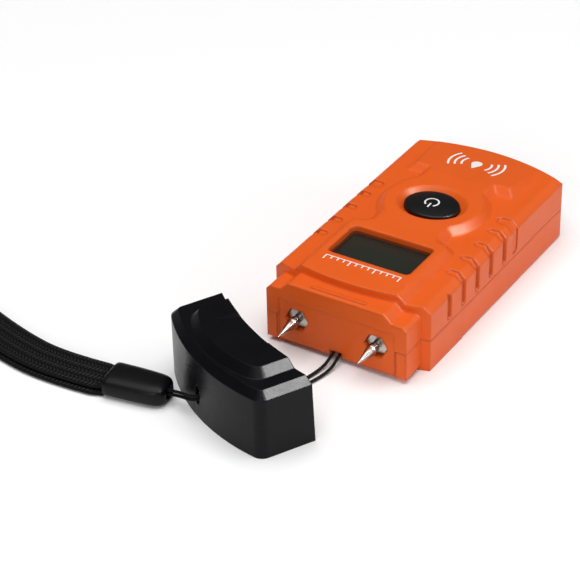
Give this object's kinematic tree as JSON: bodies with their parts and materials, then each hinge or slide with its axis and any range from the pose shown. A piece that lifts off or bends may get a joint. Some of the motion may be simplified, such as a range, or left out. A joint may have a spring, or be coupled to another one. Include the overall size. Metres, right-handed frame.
{
  "type": "moisture meter",
  "caption": "Pocket pin-type wood moisture meter with stepped casing, recessed display, oval key, two conical electrodes, push-on cap and woven wrist strap",
  "frame": {"origin": "centre of the meter's flat back face, midway between the four corners of its straight sides", "axes": "+Y out of the end with the electrodes, +Z out of the display, +X to the left of someone looking at the display with the electrodes up"},
  "size_m": [0.1856, 0.1162, 0.0187],
  "materials": {
    "casing_plastic": "orange moulded ABS, satin",
    "dark_plastic": "black moulded ABS, satin",
    "button_rubber": "black moulded key, satin",
    "lens_clear": "smoked clear acrylic",
    "lcd_glass": "grey-green display glass",
    "elastomer": "conductive elastomer strip",
    "inner_plastic": "white moulded frame",
    "board_laminate": "green solder mask laminate",
    "chip_black": "moulded epoxy",
    "chrome": "plated and polished",
    "brass": "turned brass",
    "steel": "stainless steel",
    "webbing": "black woven polyester",
    "cord_fabric": "black braided cord"
  },
  "bodies": {
    "meter": {"front_casing": "casing_plastic", "back_casing": "casing_plastic", "lcd_window": "lens_clear", "lcd_module": "lcd_glass", "lcd_holder": "inner_plastic", "zebra_strips": "elastomer", "circuit_board": "board_laminate", "controller_chip": "chip_black", "board_components": "chip_black", "crystal_can": "steel", "tact_switch_body": "chip_black", "electrode_left": "chrome", "electrode_right": "chrome", "electrode_nuts": "steel", "electrode_sockets": "brass", "terminal_tabs": "brass", "coin_cells": "steel", "battery_contact_negative": "steel", "cell_riser": "steel", "casing_screws": "steel", "board_screws": "steel", "lanyard_pin": "steel", "lanyard_cord": "cord_fabric"},
    "button": {"set_button": "button_rubber", "switch_plunger": "inner_plastic"},
    "door": {"battery_door": "casing_plastic", "battery_contact_positive": "steel"},
    "cap": {"cap_shell": "dark_plastic"},
    "strap": {"strap_ferrule": "dark_plastic", "strap_upper": "webbing", "strap_lower": "webbing"}
  },
  "joints": [
    {"name": "cap_seat", "type": "hinge", "parent": "meter", "child": "cap", "pos_m": [0.05303, 0.03234, 0], "axis": [0, 0, 1], "range_deg": [0, 28], "deforming": ["lanyard_cord"]},
    {"name": "strap_swing", "type": "hinge", "parent": "cap", "child": "strap", "pos_m": [0.0235, 0.0713, 0], "axis": [0, 0, 1], "range_deg": [-20, 25]},
    {"name": "button_press", "type": "slide", "parent": "meter", "child": "button", "axis": [0, 0, -1], "range_m": [0, 0.0005], "stiffness_N_per_m": 400},
    {"name": "door_slide", "type": "slide", "parent": "meter", "child": "door", "axis": [0, -1, 0], "range_m": [0, 0.028]}
  ]
}
